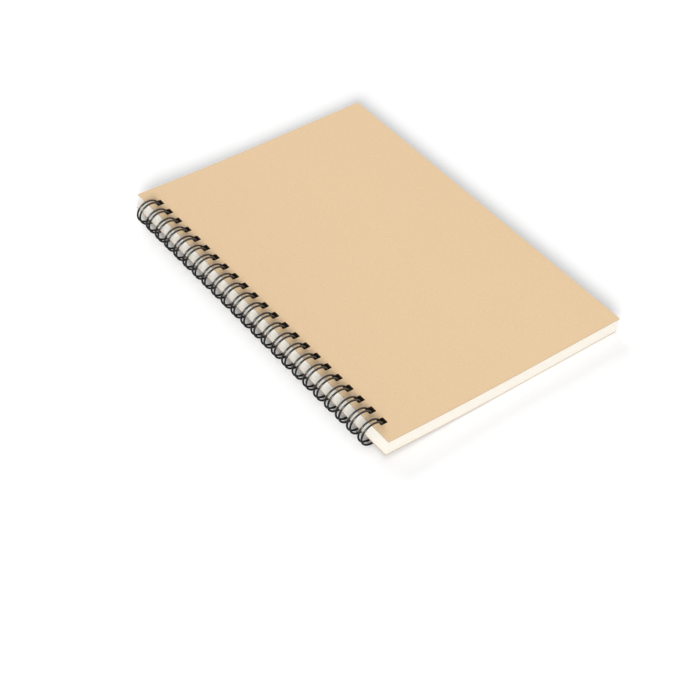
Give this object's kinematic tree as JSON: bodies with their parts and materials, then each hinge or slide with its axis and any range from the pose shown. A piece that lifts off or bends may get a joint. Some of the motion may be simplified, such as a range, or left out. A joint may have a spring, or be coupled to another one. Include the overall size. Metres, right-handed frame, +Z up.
{
  "type": "spiral notebook",
  "caption": "Spiral-bound notebook: plain brown card covers and cream-white leaves on a comb of black twin-loop wire. Both covers turn right over on the wire.",
  "frame": {"origin": "middle of the notebook's bounding box, at the height of the table it lies on", "axes": "+X from the spine to the fore-edge, +Y from tail to head, +Z up out of the front cover"},
  "size_m": [0.1496, 0.21, 0.0137],
  "materials": {
    "brown_card": "uncoated brown card, faint fibres",
    "cream_paper": "uncoated cream-white writing paper",
    "black_wire": "glossy black coating on steel wire"
  },
  "bodies": {
    "root": {"page_block": "cream_paper", "binding_wire": "black_wire"},
    "front": {"front_cover": "brown_card"},
    "back": {"back_cover": "brown_card"}
  },
  "joints": [
    {"name": "front_cover_turn", "type": "hinge", "parent": "root", "child": "front", "pos_m": [-0.06789, 0, 0.00688], "axis": [0, -1, 0], "range_deg": [0, 180]},
    {"name": "back_cover_turn", "type": "hinge", "parent": "root", "child": "back", "pos_m": [-0.06789, 0, 0.00688], "axis": [0, 1, 0], "range_deg": [0, 180]}
  ]
}
